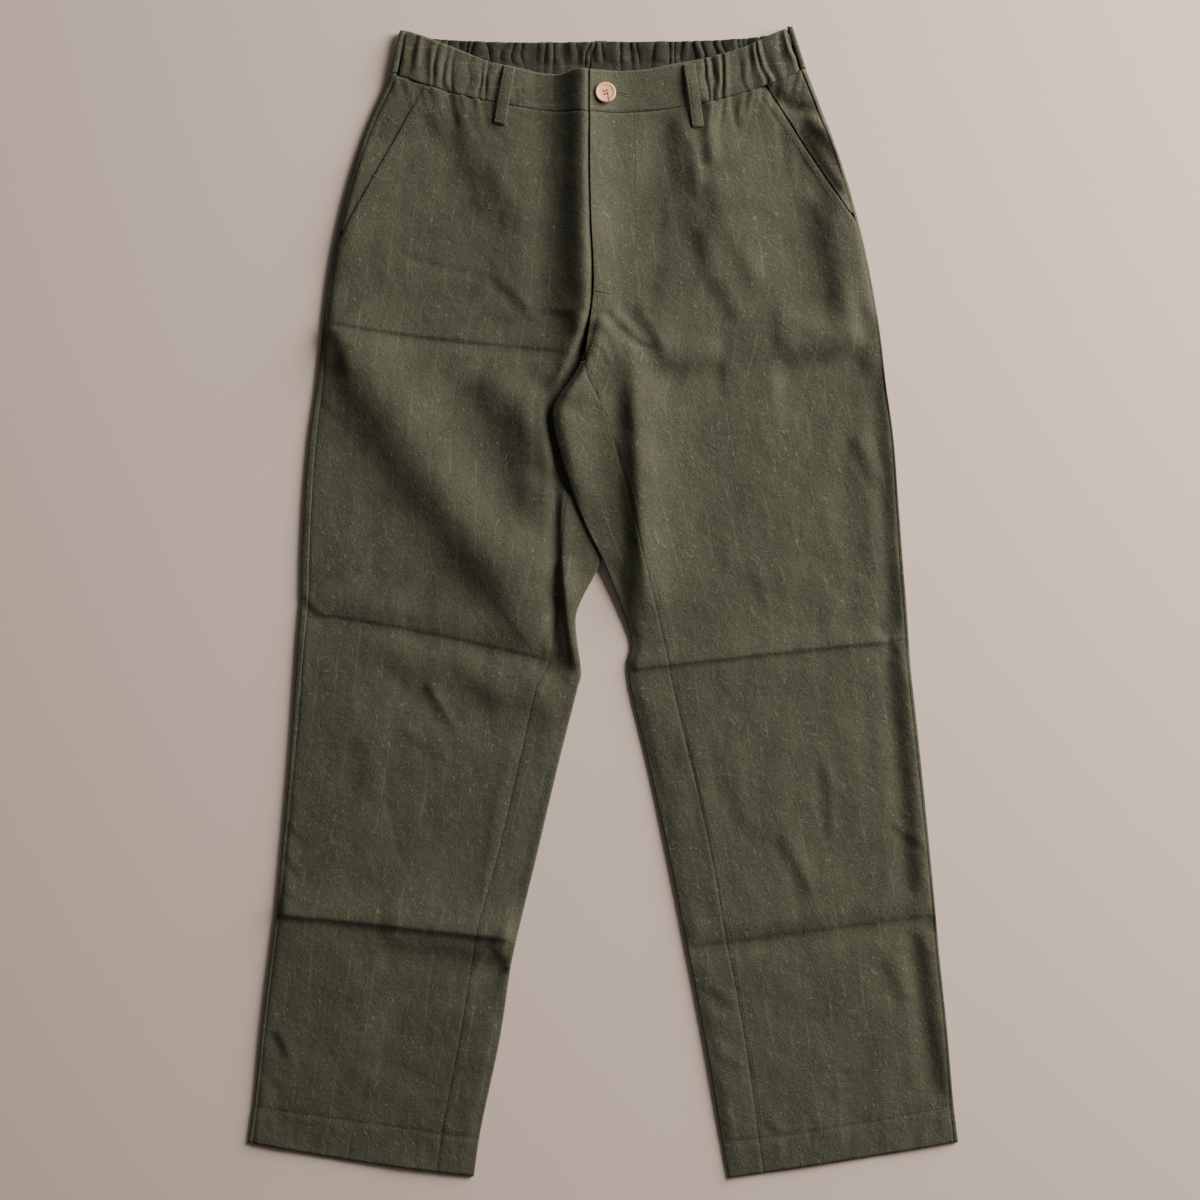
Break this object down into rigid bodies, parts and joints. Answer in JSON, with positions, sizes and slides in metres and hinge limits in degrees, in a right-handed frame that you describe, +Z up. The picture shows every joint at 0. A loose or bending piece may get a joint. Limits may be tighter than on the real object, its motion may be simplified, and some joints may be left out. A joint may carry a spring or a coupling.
{
  "type": "linen chinos",
  "caption": "Full-length linen trousers lying flat, front up: gathered waistband, button fly, slanted side pockets, belt loops, plain hems and soft shipping creases.",
  "frame": {"origin": "on the surface the trousers lie on, under the middle of their bounding box", "axes": "+Y up the garment from the hems to the waist, +X to the wearer's left, +Z up from the surface, front of the garment uppermost"},
  "size_m": [0.6542, 1.0592, 0.0112],
  "materials": {
    "linen": "dark olive plain-weave linen with slubs, matt, sewn with thread of the same colour",
    "button_wood": "pale grained wood, satin, with a darker rim"
  },
  "bodies": {
    "root": {"front_right": "linen", "front_left": "linen", "back_right": "linen", "back_left": "linen", "pocket_facing_right": "linen", "pocket_facing_left": "linen", "waistband_front_right": "linen", "waistband_front_left": "linen", "waistband_back": "linen", "belt_loop_front_right": "linen", "belt_loop_front_left": "linen", "belt_loop_back": "linen", "button": "button_wood"}
  },
  "joints": []
}
